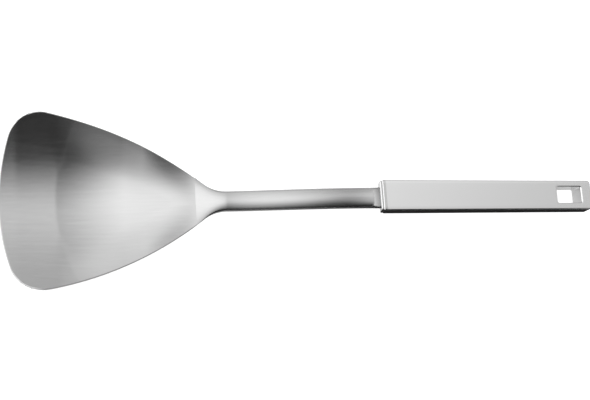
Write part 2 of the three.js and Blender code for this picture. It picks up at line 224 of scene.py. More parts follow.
class StageSizes(bpy.types.PropertyGroup):
    """The floor, the light and the view"""

    floor: length("Floor", 6000, "Side of the square floor")
    floor_gap: length("Floor Gap", 0.05, "From the table line down to the floor")
    floor_colour: colour("Floor Colour", 0.8, "Pale floor")
    floor_glow: share("Floor Glow", 0.86, "Level that keeps the background white")
    floor_mirrored: share("Floor Mirrored", 0.3, "Part of the floor's glow that polished steel mirrors")
    # A dark card that stands in for shade in the steel's reflections: painted reflected shade
    card_length: length("Card Length", 265, "Of the black card beside stem and handle")
    card_middle: length("Card Middle", 56.8, "From the tool's middle to the card's, along the tool")
    card_width: length("Card Width", 160, "Of the black card beside the tool")
    card_from_middle: length("Card from Middle", 8.75, "From the tool's middle line to the black card")
    card_height: length("Card Height", 0.2, "Of the black card above the table")
    card_grey: share("Card Grey", 0.27, "Tone of the card's end beside the stem")
    card_black: share("Card Black", 0.012, "Tone of the card beside the handle")
    card_grey_end: length("Card Grey End", -16, "Along the tool, to where the card starts to darken")
    lens: length("Lens", 67.35, "Focal length of the camera")
    aim: FloatVectorProperty(
        name="Aim", description="Point on the table under the picture's middle",
        default=(-11.64 * MM, 1.02 * MM, 0), subtype="TRANSLATION", unit="LENGTH")
    distance: length("Distance", 652.3, "From the camera to the aim")
    tilt: angle("Tilt", 10.98, "Turn of the view about X")
    lean: angle("Lean", -16.67, "Turn of the view about Y")
    roll: angle("Roll", -3.95, "Turn of the view about its own axis")


class TurnerSettings(bpy.types.PropertyGroup):
    """All that a user would change"""

    handle: PointerProperty(type=HandleSizes)
    mouth: PointerProperty(type=MouthSizes)
    eye: PointerProperty(type=EyeSizes)
    stem: PointerProperty(type=StemSizes)
    blade: PointerProperty(type=BladeSizes)
    finish: PointerProperty(type=SteelFinish)
    stage: PointerProperty(type=StageSizes)


# Small sums

def mix(low, high, part):
    return low + (high - low) * part


def ease(value, low, high):
    """0 at low, 1 at high, and a smooth run between them"""
    part = min(max((value - low) / (high - low), 0), 1)
    return part * part * (3 - 2 * part)


def arc_point(centre, radius, turn):
    return centre + radius * Vector((math.cos(turn), math.sin(turn)))


def along_arcs(arcs, part):
    """The point at a share of the way along a run of arcs, each (centre, radius, from, to)"""
    runs = [radius * abs(end - start) for centre, radius, start, end in arcs]
    left = part * sum(runs)
    for (centre, radius, start, end), run in zip(arcs, runs):
        if left <= run:
            break
        left -= run
    return arc_point(centre, radius, mix(start, end, min(left / run, 1)))


# Modelling steps that every piece uses

def begin():
    """Object mode with nothing selected, so that an operator acts on its own piece alone"""
    if bpy.context.mode != "OBJECT":
        bpy.ops.object.mode_set(mode="OBJECT")
    bpy.ops.object.select_all(action="DESELECT")


def take(piece):
    begin()
    piece.select_set(True)
    bpy.context.view_layer.objects.active = piece


def name_new(name):
    """Names the primitive that was just added and puts its place into its mesh"""
    bpy.ops.object.transform_apply(location=True, rotation=True, scale=True)
    piece = bpy.context.object
    piece.name = name
    piece.data.name = name
    return piece


def add_block(name, low, high):
    begin()
    low, high = Vector(low), Vector(high)
    bpy.ops.mesh.primitive_cube_add(size=1, location=(low + high) / 2, scale=high - low)
    return name_new(name)


def add_slab(name, steps_along, steps_across):
    """A flat slab of faces to be shaped: x and y from -1 to 1, z 0 below and 1 on top"""
    begin()
    bpy.ops.mesh.primitive_grid_add(x_subdivisions=steps_along, y_subdivisions=steps_across, size=2)
    piece = name_new(name)
    bpy.ops.object.mode_set(mode="EDIT")
    bpy.ops.mesh.select_all(action="SELECT")
    bpy.ops.mesh.extrude_region_move(TRANSFORM_OT_translate={"value": (0, 0, 1)})
    bpy.ops.mesh.select_all(action="SELECT")
    bpy.ops.mesh.normals_make_consistent(inside=False)
    bpy.ops.object.mode_set(mode="OBJECT")
    return piece


def pick(piece, kind, test):
    """Edit mode with only the edges or faces selected that pass a test"""
    take(piece)
    bpy.ops.object.mode_set(mode="EDIT")
    bpy.ops.mesh.select_mode(type=kind)
    bpy.ops.mesh.select_all(action="DESELECT")
    shape = bmesh.from_edit_mesh(piece.data)
    for element in shape.edges if kind == "EDGE" else shape.faces:
        if test(element):
            element.select_set(True)
    shape.select_flush_mode()
    bmesh.update_edit_mesh(piece.data)


def bevel(radius, steps):
    bpy.ops.mesh.bevel(
        offset_type="OFFSET", offset=radius, segments=steps, affect="EDGES", clamp_overlap=False)


def is_level(face):
    """True on a top or an underside, false on a wall"""
    return abs(face.normal.z) > 0.5


def is_upright(edge):
    start, end = (vertex.co for vertex in edge.verts)
    return (start - end).xy.length < TINY


def round_uprights(piece, radius, steps, test=lambda place: True):
    """Rounds the upright edges of a block, where a place on the edge passes a test"""
    pick(piece, "EDGE", lambda edge: is_upright(edge) and test(edge.verts[0].co))
    bevel(radius, steps)


def apply_modifier(piece, kind, **options):
    take(piece)
    modifier = piece.modifiers.new(kind.title(), kind)
    for option, value in options.items():
        setattr(modifier, option, value)
    bpy.ops.object.modifier_apply(modifier=modifier.name)


def discard(piece):
    mesh = piece.data
    bpy.data.objects.remove(piece)
    bpy.data.meshes.remove(mesh)


def cut(piece, cutter):
    apply_modifier(piece, "BOOLEAN", operation="DIFFERENCE", solver="EXACT", object=cutter)
    discard(cutter)


def copy_of(piece, name):
    take(piece)
    bpy.ops.object.duplicate()
    twin = bpy.context.object
    twin.name = name
    twin.data.name = name
    return twin


def rest_place():
    """From the tool's own frame to the table, found from where the handle's underside rests"""
    axis = Vector(UNDERSIDE["axis"])
    tilt = math.atan2(-axis.x, -axis.z)
    half_depth = bpy.context.scene.turner.handle.depth / 2
    to_point = Matrix.Translation((-UNDERSIDE_FROM_MOUTH, 0, half_depth))
    return Matrix.Translation(UNDERSIDE["pos_m"]) @ Matrix.Rotation(tilt, 4, "Y") @ to_point


def complete(piece, node, material):
    """Merges doubles, smooths, lays the piece down, and hands it to the frame"""
    take(piece)
    bpy.ops.object.mode_set(mode="EDIT")
    bpy.ops.mesh.select_all(action="SELECT")
    bpy.ops.mesh.remove_doubles(threshold=MERGE_DISTANCE)
    bpy.ops.object.mode_set(mode="OBJECT")
    bpy.ops.object.shade_smooth_by_angle(angle=SMOOTH_ANGLE)
    apply_modifier(piece, "WEIGHTED_NORMAL", keep_sharp=True, weight=60)
    piece.matrix_world = rest_place()
    bpy.ops.object.transform_apply(location=True, rotation=True, scale=True)
    piece.data.materials.clear()
    piece.data.materials.append(material)
    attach(piece, BODY)
    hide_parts(node)
    if not piece.data.polygons:
        raise RuntimeError(f"{piece.name} has no faces")


# Shader nodes

def add_node(tree, kind, inputs=None, **options):
    """Adds a node, sets its options, and sets or links its inputs"""
    node = tree.nodes.new(kind)
    for option, value in options.items():
        setattr(node, option, value)
    for key, value in (inputs or {}).items():
        if isinstance(value, bpy.types.NodeSocket):
            tree.links.new(value, node.inputs[key])
        else:
            node.inputs[key].default_value = value
    return node


def map_range(tree, value, low, high, to_low, to_high, curve="LINEAR"):
    inputs = {"Value": value, "From Min": low, "From Max": high, "To Min": to_low, "To Max": to_high}
    return add_node(tree, "ShaderNodeMapRange", inputs, interpolation_type=curve).outputs["Result"]


def maths(tree, operation, first, second):
    return add_node(tree, "ShaderNodeMath", {0: first, 1: second}, operation=operation).outputs[0]


def new_group(name, inputs, outputs):
    """A shader node group with float and vector inputs and float outputs"""
    group = bpy.data.node_groups.new(name, "ShaderNodeTree")
    for socket, default in inputs.items():
        kind = "NodeSocketFloat" if isinstance(default, float) else "NodeSocketVector"
        made = group.interface.new_socket(socket, in_out="INPUT", socket_type=kind)
        made.default_value = default
    for socket in outputs:
        group.interface.new_socket(socket, in_out="OUTPUT", socket_type="NodeSocketFloat")
    return group, add_node(group, "NodeGroupInput").outputs, add_node(group, "NodeGroupOutput")


def brush_lines_group():
    """Fine parallel lines left by a belt: long along X, narrow across it"""
    name = "Brush Lines"
    if name in bpy.data.node_groups:
        return bpy.data.node_groups[name]
    inputs = {"Vector": (0, 0, 0), "Lines per Metre": 2000.0, "Length Share": 0.01, "Waviness": 0.2}
    group, given, result = new_group(name, inputs, ["Lines"])
    across = given["Lines per Metre"]
    along = maths(group, "MULTIPLY", across, given["Length Share"])
    stretch = add_node(group, "ShaderNodeCombineXYZ", {"X": along, "Y": across, "Z": across}).outputs[0]
    stretched = {0: given["Vector"], 1: stretch}
    place = add_node(group, "ShaderNodeVectorMath", stretched, operation="MULTIPLY").outputs[0]
    noise = add_node(group, "ShaderNodeTexNoise", {
        "Vector": place, "Scale": 1.0, "Detail": 3.0, "Roughness": 0.6,
        "Distortion": given["Waviness"]})
    group.links.new(noise.outputs["Fac"], result.inputs["Lines"])
    return group


def handling_haze_group():
    """Broad soft patches, a little duller than the rest, as on steel that was wiped by hand"""
    name = "Handling Haze"
    if name in bpy.data.node_groups:
        return bpy.data.node_groups[name]
    inputs = {"Vector": (0, 0, 0), "Patches per Metre": 30.0, "Softness": 0.3}
    group, given, result = new_group(name, inputs, ["Haze"])
    noise = add_node(group, "ShaderNodeTexNoise", {
        "Vector": given["Vector"], "Scale": given["Patches per Metre"], "Detail": 2.0, "Roughness": 0.5})
    low = maths(group, "SUBTRACT", 0.5, given["Softness"])
    high = maths(group, "ADD", 0.5, given["Softness"])
    haze = map_range(group, noise.outputs["Fac"], low, high, 0.0, 1.0, "SMOOTHSTEP")
    group.links.new(haze, result.inputs["Haze"])
    return group


def along_tool(tree, place, start, end, from_value, to_value):
    """A value that runs smoothly from one to another between two places along X"""
    x = add_node(tree, "ShaderNodeSeparateXYZ", {0: place}).outputs["X"]
    return map_range(tree, x, start, end, from_value, to_value, "SMOOTHSTEP")


def ground_strip(tree, place, settings):
    """Added roughness of the strip that was ground behind the tip"""
    finish = settings.finish
    end = CAD_BOX[0][0] + settings.blade.grind
    blur = finish.ground_blur / 2
    return along_tool(tree, place, end - blur, end + blur, finish.ground_roughness, 0.0)


def painted_corner_shade(tree, place, settings):
    """Painted shade on the stem's tone: darker towards the corner at the cap, where stem and cap meet"""
    finish = settings.finish
    end = rest_place().translation.x - settings.mouth.cap_thickness
    return along_tool(tree, place, end - finish.corner_reach, end, 1.0, finish.corner_shade_tone)


# Brush lines and haze patches per metre, and how far they change the steel
SATIN_GRAIN = {
    "fine": 2600.0, "coarse": 650.0, "length_share": 0.035,
    "tone": 0.035, "roughness": 0.02, "relief": 3e-6}
SATIN_HAZE = {"patches": 22.0, "roughness": 0.02}
POLISHED_GRAIN = {
    "fine": 9000.0, "coarse": 2400.0, "length_share": 0.008,
    "tone": 0.012, "roughness": 0.015, "relief": 4e-7}
POLISHED_HAZE = {"patches": 30.0, "roughness": 0.025}

# Between these two values lie nearly all the brush lines
LINE_RANGE = (0.3, 0.7)


def steel(name, base, roughness, grain, haze, shade_and_grind=False):
    """Brushed steel: lines along X in its tone, roughness and relief, under a light haze"""
    if name in bpy.data.materials:
        return bpy.data.materials[name]
    settings = bpy.context.scene.turner
    material = bpy.data.materials.new(name)
    material.use_nodes = True
    tree = material.node_tree
    shader = tree.nodes["Principled BSDF"]
    place = add_node(tree, "ShaderNodeTexCoord").outputs["Object"]

    def brushed(per_metre):
        inputs = {"Vector": place, "Lines per Metre": per_metre, "Length Share": grain["length_share"]}
        return add_node(tree, "ShaderNodeGroup", inputs, node_tree=brush_lines_group()).outputs["Lines"]

    def around(middle, spread):
        return map_range(tree, lines, *LINE_RANGE, middle - spread, middle + spread)

    both = maths(tree, "ADD", brushed(grain["fine"]), brushed(grain["coarse"]))
    lines = maths(tree, "MULTIPLY", both, 0.5)
    patches = add_node(
        tree, "ShaderNodeGroup", {"Vector": place, "Patches per Metre": haze["patches"]},
        node_tree=handling_haze_group()).outputs["Haze"]
    tone = around(1, grain["tone"])
    hazed = maths(tree, "MULTIPLY", patches, haze["roughness"])
    rough = maths(tree, "ADD", around(roughness, grain["roughness"]), hazed)
    # Painted shade darkens the tone towards the cap, and the ground strip adds roughness behind the tip
    if shade_and_grind:
        tone = maths(tree, "MULTIPLY", tone, painted_corner_shade(tree, place, settings))
        rough = maths(tree, "ADD", rough, ground_strip(tree, place, settings))
    tint = add_node(
        tree, "ShaderNodeVectorMath", {0: tuple(base), "Scale": tone}, operation="SCALE").outputs[0]
    relief = add_node(
        tree, "ShaderNodeBump",
        {"Height": lines, "Strength": 1.0, "Distance": grain["relief"]}).outputs["Normal"]
    tree.links.new(tint, shader.inputs["Base Color"])
    tree.links.new(rough, shader.inputs["Roughness"])
    tree.links.new(relief, shader.inputs["Normal"])
    shader.inputs["Metallic"].default_value = 1.0
    return material


def satin_steel():
    finish = bpy.context.scene.turner.finish
    return steel(
        "brushed_satin", finish.satin, finish.satin_roughness, SATIN_GRAIN, SATIN_HAZE, shade_and_grind=True)


def polished_steel():
    finish = bpy.context.scene.turner.finish
    return steel(
        "fine_polish", finish.polished, finish.polished_roughness, POLISHED_GRAIN, POLISHED_HAZE)


# Blade and stem

class FanPlan:
    """The blade's outline in plan: tangent arcs for the front edge, corner, side and neck"""

    def __init__(self, settings):
        blade, stem = settings.blade, settings.stem
        self.blade = blade
        self.stem = stem
        self.neck_x = -stem.length
        self.joint_x = self.neck_x - stem.neck_length
        self.tip_x = self.neck_x - blade.length
        front = Vector((self.tip_x + blade.front_radius, 0))
        corner_y = blade.width / 2 - blade.corner_radius
        reach = math.sqrt((blade.front_radius - blade.corner_radius) ** 2 - corner_y ** 2)
        corner = Vector((front.x - reach, corner_y))
        self.neck = Vector((self.neck_x, stem.width_at_neck / 2 + stem.neck_radius))
        self.side = self.side_centre(corner)
        front_turn = math.pi - math.atan2(corner.y, front.x - corner.x)
        side_turn = math.atan2(corner.y - self.side.y, corner.x - self.side.x)
        corner_turn = (front_turn + side_turn) / 2
        joint_turn = math.acos((self.joint_x - self.side.x) / blade.side_radius)
        self.front_arcs = [
            (front, blade.front_radius, math.pi, front_turn),
            (corner, blade.corner_radius, front_turn, corner_turn)]
        self.side_arcs = [
            (corner, blade.corner_radius, corner_turn, side_turn),
            (self.side, blade.side_radius, side_turn, joint_turn)]
        touch = blade.side_radius / (blade.side_radius + stem.neck_radius)
        self.neck_arc_x = mix(self.side.x, self.neck.x, touch)

    def side_centre(self, corner):
        """Centre of the side arc, which has the corner arc inside it and the neck arc outside it"""
        to_corner = self.blade.side_radius - self.blade.corner_radius
        to_neck = self.blade.side_radius + self.stem.neck_radius
        span = self.neck - corner
        along = (to_corner ** 2 - to_neck ** 2 + span.length_squared) / (2 * span.length)
        away = math.sqrt(to_corner ** 2 - along ** 2)
        step = span.normalized()
        return corner + along * step + away * Vector((step.y, -step.x))

    def half_width(self, x):
        """Half width of the blade's rear, the neck and the stem at x"""
        if x < self.neck_arc_x:
            return self.side.y + math.sqrt(self.blade.side_radius ** 2 - (x - self.side.x) ** 2)
        if x < self.neck_x:
            return self.neck.y - math.sqrt(self.stem.neck_radius ** 2 - (x - self.neck_x) ** 2)
        part = min((x - self.neck_x) / self.stem.length, 1)
        return mix(self.stem.width_at_neck, self.stem.width_at_mouth, part) / 2

    def blade_point(self, along, across):
        """Place in plan: along from 0 at the front edge to 1 at the joint, across from -1 to 1"""
        front = along_arcs(self.front_arcs, abs(across))
        edge = along_arcs(self.side_arcs, along)
        corner = along_arcs(self.side_arcs, 0)
        joint_half = self.half_width(self.joint_x)
        x = (1 - along) * (front.x - corner.x) + edge.x
        y = (1 - along) * math.copysign(front.y, across) + along * joint_half * across
        y += across * (edge.y - (1 - along) * corner.y - along * joint_half)
        return x, y


def stem_floor(settings):
    """Height of the tang's underside, which lies on the handle's floor"""
    return -settings.handle.depth / 2 + settings.handle.wall + settings.mouth.fit


def stem_height(stem):
    """From the stem's underside to the top of its crown"""
    return stem.edge + stem.edge_radius + stem.crown


def dish_rise(y, radius):
    return radius - math.sqrt(radius ** 2 - y ** 2)


def scoop_height(run, blade, end, width):
    """Height along the scoop, which falls, rises and then levels out across a crease of some width"""
    fall = math.tan(blade.ramp_angle)
    bend = (fall + math.tan(blade.lip_angle)) / blade.scoop
    start = end - width / 2
    before = min(run, start)
    height = -fall * before + bend * before ** 2 / 2
    if run > start:
        part = min((run - start) / width, 1)
        slope = bend * start - fall
        turn = bend * width
        height += width * slope * (part - part ** 3 + part ** 4 / 2)
        height += width * turn * (part ** 2 / 2 - 3 * part ** 4 / 4 + 2 * part ** 5 / 5)
    return height


def lip_length(settings):
    """From the crease to the tip, along the middle of the blade"""
    blade = settings.blade
    return blade.length - settings.stem.neck_length - blade.ramp - blade.scoop


def margin_height(inward, blade):
    """Height of the rear margin at a distance inward from the blade's side"""
    return blade.margin_rise * (1 - ease(inward, blade.margin, blade.margin + blade.margin_wall))


def blade_underside(x, y, plan, settings):
    """Height of the blade's underside: a ramp, a scoop and a lip along it, a dish across it"""
    blade = plan.blade
    run = max(plan.joint_x - x, 0)
    fall = math.tan(blade.ramp_angle)
    lip = lip_length(settings)
    end = blade.scoop - dish_rise(y, blade.front_radius - lip)
    fade = ease(abs(y), blade.crease_start, blade.crease_end)
    height = stem_floor(settings) - settings.stem.drop - fall * min(run, blade.ramp)
    if run > blade.ramp:
        height += scoop_height(run - blade.ramp, blade, end, mix(blade.crease, blade.crease_fade, fade))
    past = max(run - blade.ramp - end, 0)
    slope = mix(math.tan(blade.lip_start_angle), math.tan(blade.lip_end_angle), past / (2 * lip))
    height += past * slope
    if run < blade.margin_start:
        margin = margin_height(plan.half_width(x) - abs(y), blade)
        grown = 1 - ease(run, blade.margin_full, blade.margin_start)
        height += margin * grown * ease(run, 0, blade.margin_end)
    return height + dish_rise(y, blade.dish_radius)


def rim_edges(piece):
    """Indices of the edges round a slab's two faces, apart from the end at x = 1"""
    found = set()
    for edge in piece.data.edges:
        start, end = (piece.data.vertices[index].co for index in edge.vertices)
        middle = (start + end) / 2
        on_rim = middle.x < TINY - 1 or abs(middle.y) > 1 - TINY
        if on_rim and abs(start.z - end.z) < TINY:
            found.add(edge.index)
    return found


class TURNER_OT_blade(bpy.types.Operator):
    """Models the fan blade as one pressed sheet"""

    bl_idname = "turner.blade"
    bl_label = "Blade"

    steps_along = 130
    steps_across = 120
    rim_steps = 4

    def execute(self, context):
        settings = context.scene.turner
        blade = settings.blade
        plan = FanPlan(settings)
        sheet = add_slab("blade_sheet", self.steps_along, self.steps_across)
        rim = rim_edges(sheet)
        for vertex in sheet.data.vertices:
            along, across, top = vertex.co
            x, y = plan.blade_point((1 + along) / 2, across)
            thickness = blade.thickness * top
            height = blade_underside(x, y, plan, settings)
            lean = y / blade.dish_radius
            vertex.co = (x, y - thickness * lean, height + thickness * math.sqrt(1 - lean ** 2))
        pick(sheet, "EDGE", lambda edge: edge.index in rim)
        bevel(blade.rim, self.rim_steps)
        complete(sheet, "blade", satin_steel())
        return {"FINISHED"}


class TURNER_OT_stem(bpy.types.Operator):
    """Models the stem with its spread neck and its tang"""

    bl_idname = "turner.stem"
    bl_label = "Stem"

    steps_along = 150
    steps_across = 44
    seen_share = 0.9
    flat_share = 0.7
    least_radius_share = 0.1
    rise_power = 1.6

    def line(self, part, plan, settings):
        """Underside of the stem: a curve from the joint to the mouth, then level along the tang"""
        stem = settings.stem
        floor = stem_floor(settings)
        start = Vector((plan.joint_x + settings.blade.weld, floor - stem.drop))
        neck = Vector((plan.joint_x + stem.neck_ease, floor - stem.drop - stem.neck_dip))
        mouth = Vector((-stem.mouth_ease, floor))
        end = Vector((0, floor))
        if part > self.seen_share:
            return Vector((stem.tang * (part - self.seen_share) / (1 - self.seen_share), floor))
        t = part / self.seen_share
        s = 1 - t
        return s ** 3 * start + 3 * s ** 2 * t * neck + 3 * s * t ** 2 * mouth + t ** 3 * end

    def execute(self, context):
        settings = context.scene.turner
        stem, blade = settings.stem, settings.blade
        plan = FanPlan(settings)
        least_radius = stem.edge_radius * self.least_radius_share
        bar = add_slab("stem_bar", self.steps_along, self.steps_across)
        for vertex in bar.data.vertices:
            along, across, top = vertex.co
            x, z = self.line((1 + along) / 2, plan, settings)
            half = plan.half_width(x)
            grown = min(max((x - plan.joint_x) / stem.neck_rise, 0), 1)
            grown = 1 - (1 - grown) ** self.rise_power
            radius = mix(least_radius, stem.edge_radius, grown)
            edge = mix(blade.thickness - least_radius, stem.edge, grown)
            flat = half - radius
            past = max(abs(across) - self.flat_share, 0) / (1 - self.flat_share) * math.pi / 2
            if past == 0:
                y = flat * across / self.flat_share
            else:
                y = math.copysign(flat + radius * math.sin(past), across)
            rise = (1 - ease(x, plan.joint_x, -stem.mouth_ease)) * dish_rise(y, blade.dish_radius)
            crown = grown * stem.crown * (1 - (y / half) ** 2)
            vertex.co = (x, y, z + rise + top * (edge + radius * math.cos(past) + crown))
        complete(bar, "stem", satin_steel())
        return {"FINISHED"}


# Handle

# Room on a flat for the rounding of its rim, as a share of the rounding's radius
RIM_ROOM = 1.05


def handle_block(name, handle, inset, corner_steps):
    """The handle's outer form, or the same form drawn in by a wall"""
    half_width = handle.width / 2 - inset
    half_depth = handle.depth / 2 - inset
    low = (inset, -half_width, -half_depth)
    high = (handle.length - inset, half_width, half_depth)
    block = add_block(name, low, high)
    middle = handle.length / 2
    round_uprights(block, handle.front_corner - inset, corner_steps, lambda place: place.x < middle)
    round_uprights(block, handle.rear_corner - inset, corner_steps, lambda place: place.x > middle)
    return block


def weigh_rims(piece, test, side, front, rear):
    """Bevel weights where walls that pass a test meet flats: one to the sides, one to either end"""
    begin()
    shape = bmesh.new()
    shape.from_mesh(piece.data)
    weight = shape.edges.layers.float.new("bevel_weight_edge")
    for edge in shape.edges:
        walls = [face for face in edge.link_faces if not is_level(face)]
        if len(walls) == 1 and test(walls[0]):
            facing = walls[0].normal.x
            edge[weight] = mix(side, front if facing < 0 else rear, ease(abs(facing), 0, 1))
    shape.to_mesh(piece.data)
    shape.free()


def bevel_by_weight(piece, width, steps):
    apply_modifier(
        piece, "BEVEL", limit_method="WEIGHT", width=width, segments=steps, use_clamp_overlap=False)


def soften_rims(block, handle, steps):
    """Rounds the rims of the top and the underside, more at the ends than along the sides"""
    pick(block, "FACE", is_level)
    bpy.ops.mesh.inset(thickness=handle.end_edge * RIM_ROOM, use_even_offset=True)
    weigh_rims(block, lambda wall: True, handle.long_edge / handle.end_edge, 1, 1)
    bevel_by_weight(block, handle.end_edge, steps)


def add_loops(piece, along, places):
    """Cuts loops of edges square to an axis at some places along it"""
    take(piece)
    bpy.ops.object.mode_set(mode="EDIT")
    for place in places:
        bpy.ops.mesh.select_all(action="SELECT")
        bpy.ops.mesh.bisect(plane_co=place * along, plane_no=along)
    bpy.ops.object.mode_set(mode="OBJECT")


def slope_mouth(piece, mouth):
    """Lets the top face fall gently towards the mouth"""
    add_loops(piece, Vector((1, 0, 0)), [mouth.slope_reach, mouth.slope_reach - mouth.slope_turn])
    start = mouth.slope_reach - mouth.slope_turn / 2
    for vertex in piece.data.vertices:
        if vertex.co.z > 0:
            vertex.co.z -= math.tan(mouth.slope) * max(start - vertex.co.x, 0)


def crown_top(piece, handle, steps):
    """Lets the top face fall gently towards its two long edges"""
    start = handle.width / 2 - handle.crowned
    loops = [start + handle.crowned * step / steps for step in range(steps)]
    add_loops(piece, Vector((0, 1, 0)), loops + [-place for place in loops])
    steepest = math.tan(handle.crown_angle)
    for vertex in piece.data.vertices:
        past = max(abs(vertex.co.y) - start, 0)
        if vertex.co.z > 0:
            vertex.co.z -= steepest * past ** 2 / (2 * handle.crowned)


def lean_ends(piece, settings):
    """Leans both ends of the handle forward at the top"""
    handle = settings.handle
    rear_start = handle.length - settings.eye.to_rear_end / 2
    for vertex in piece.data.vertices:
        if vertex.co.x < handle.length / 2:
            vertex.co.x -= math.tan(handle.front_lean) * vertex.co.z
        elif vertex.co.x > rear_start:
            vertex.co.x -= math.tan(handle.rear_lean) * vertex.co.z


def keep_half(piece, side, seam):
    """Cuts a closed shell at mid height and keeps the part above or below"""
    take(piece)
    bpy.ops.object.mode_set(mode="EDIT")
    bpy.ops.mesh.select_all(action="SELECT")
    bpy.ops.mesh.bisect(
        plane_co=(0, 0, side * seam / 2), plane_no=(0, 0, side), use_fill=True, clear_inner=True)
    bpy.ops.object.mode_set(mode="OBJECT")


def eye_block(name, settings, outset, half_depth, steps):
    """An upright block over the eye, as wide as the eye and an outset all round"""
    eye = settings.eye
    end = settings.handle.length - eye.to_rear_end + outset
    start = end - eye.length - 2 * outset
    half_width = eye.width / 2 + outset
    block = add_block(name, (start, -half_width, -half_depth), (end, half_width, half_depth))
    round_uprights(block, eye.corner + outset, steps)
    return block


class TURNER_OT_handle_shells(bpy.types.Operator):
    """Models the two half shells of the hollow handle"""

    bl_idname = "turner.handle_shells"
    bl_label = "Handle Shells"

    corner_steps = 10
    edge_steps = 7
    eye_steps = 8

    def execute(self, context):
        settings = context.scene.turner
        handle, mouth, eye = settings.handle, settings.mouth, settings.eye
        half_depth = handle.depth / 2
        tube = handle_block("upper_shell", handle, 0, self.corner_steps)
        soften_rims(tube, handle, self.edge_steps)
        crown_top(tube, handle, self.edge_steps)
        slope_mouth(tube, mouth)
        cut(tube, handle_block("hollow", handle, handle.wall, self.corner_steps))
        half_mouth = settings.stem.width_at_mouth / 2 + mouth.fit
        mouth_top = stem_floor(settings) + stem_height(settings.stem) + mouth.fit
        opening = add_block(
            "opening", (-handle.wall, -half_mouth, -half_depth + handle.wall),
            (handle.wall + handle.end_edge, half_mouth, mouth_top))
        cut(tube, opening)
        outset = eye.sleeve_wall + eye.joint
        cut(tube, eye_block("eye_cutter", settings, outset, handle.depth, self.eye_steps))
        lean_ends(tube, settings)
        lower = copy_of(tube, "lower_shell")
        keep_half(tube, 1, handle.seam)
        keep_half(lower, -1, handle.seam)
        complete(tube, "handle_upper_shell", polished_steel())
        complete(lower, "handle_lower_shell", polished_steel())
        return {"FINISHED"}


class TURNER_OT_front_cap(bpy.types.Operator):
    """Models the cap plate that closes the mouth round the stem"""

    bl_idname = "turner.front_cap"
    bl_label = "Front Cap"

    corner_steps = 8
    edge_steps = 5

    def execute(self, context):
        settings = context.scene.turner
        handle, mouth = settings.handle, settings.mouth
        half_width = handle.width / 2 - mouth.cap_side_inset
        half_depth = handle.depth / 2 - mouth.cap_inset
        back = -mouth.cap_gap
        front = back - mouth.cap_thickness
        middle = (front + back) / 2
        cap = add_block("cap_plate", (front, -half_width, -half_depth), (back, half_width, half_depth))
        pick(cap, "EDGE", lambda edge: edge.calc_length() < mouth.cap_thickness + TINY)
        bevel(mouth.cap_corner, self.corner_steps)
        pick(cap, "EDGE", lambda edge: all(vertex.co.x < middle for vertex in edge.verts))
        bevel(mouth.cap_edge, self.edge_steps)
        pick(cap, "EDGE", lambda edge: all(vertex.co.x > back - TINY for vertex in edge.verts))
        bevel(mouth.cap_back_edge, self.edge_steps)
        swollen = copy_of(bpy.data.objects["stem_bar"], "swollen_stem")
        swollen.parent = None
        swollen.data.transform(rest_place().inverted())
        bpy.ops.object.mode_set(mode="EDIT")
        bpy.ops.mesh.select_all(action="SELECT")
        bpy.ops.transform.shrink_fatten(value=mouth.joint)
        bpy.ops.object.mode_set(mode="OBJECT")
        cut(cap, swollen)
        lean_ends(cap, settings)
        complete(cap, "front_cap", polished_steel())
        return {"FINISHED"}


class TURNER_OT_eye_sleeve(bpy.types.Operator):
    """Models the liner of the hanging eye, with rounded ends"""

    bl_idname = "turner.eye_sleeve"
    bl_label = "Eye Sleeve"

    corner_steps = 8
    lip_steps = 7

    def execute(self, context):
        settings = context.scene.turner
        eye = settings.eye
        half_depth = settings.handle.depth / 2
        sleeve = eye_block("eye_sleeve", settings, eye.sleeve_wall, half_depth, self.corner_steps)
        pick(sleeve, "FACE", is_level)
        bpy.ops.mesh.inset(thickness=eye.sleeve_wall, use_even_offset=True)
        bpy.ops.mesh.bridge_edge_loops()
        small = eye.lip / eye.seat_lip
        middle = Vector((settings.handle.length - eye.to_rear_end - eye.length / 2, 0))
        weigh_rims(sleeve, lambda wall: self.on_bore(wall, middle), small, 1, small)
        bevel_by_weight(sleeve, eye.seat_lip, self.lip_steps)
        complete(sleeve, "hanging_eye_sleeve", polished_steel())
        return {"FINISHED"}

    def on_bore(self, wall, middle):
        """True on the walls of the bore, which face the eye's middle"""
        return wall.normal.xy.dot(middle - wall.calc_center_median().xy) > 0


# Stage

def floor_material(stage):
    """Pale floor: its own glow keeps the background white, and its matt part keeps the shadow"""
    material = bpy.data.materials.new("pale_floor")
    material.use_nodes = True
    tree = material.node_tree
    tree.nodes.clear()
    path = add_node(tree, "ShaderNodeLightPath").outputs
    seen = maths(tree, "MAXIMUM", path["Is Camera Ray"], path["Is Transmission Ray"])
    mirrored = maths(tree, "MULTIPLY", path["Is Glossy Ray"], stage.floor_mirrored)
    seen = maths(tree, "MAXIMUM", seen, mirrored)
    matt = add_node(tree, "ShaderNodeBsdfDiffuse", {"Color": (*stage.floor_colour, 1)})
    strength = maths(tree, "MULTIPLY", seen, stage.floor_glow)
    glow = add_node(tree, "ShaderNodeEmission", {"Strength": strength})
    both = add_node(tree, "ShaderNodeAddShader", {0: matt.outputs[0], 1: glow.outputs[0]})
    add_node(tree, "ShaderNodeOutputMaterial", {"Surface": both.outputs[0]})
    return material


# Direction that the soft panel's edge lies across
PANEL_SLANT = (-1.1, 1, 0)

# Runs of the light along a direction: from where, to where, and the levels at both ends
PANEL_EDGE = (-0.52, 0.1, 0.0, 1.0)
PANEL_BRIGHT = (0.36, -0.04, 0.454, 1.37)
PANEL_DARK = (0.2, 0.0, 0.02, 0.2)
PANEL_FAR_SIDE = (0.15, 1.0, 1.0, 0.63)
SECOND_START = (0.26, 0.43, 0.0, 0.76)
SECOND_FALL = (0.43, 0.64, 1.0, 0.78)
SECOND_NEAR_SIDE = (-0.3, -0.05, 0.0, 1.0)
SECOND_FAR_SIDE = (0.25, 0.6, 1.0, 0.4)


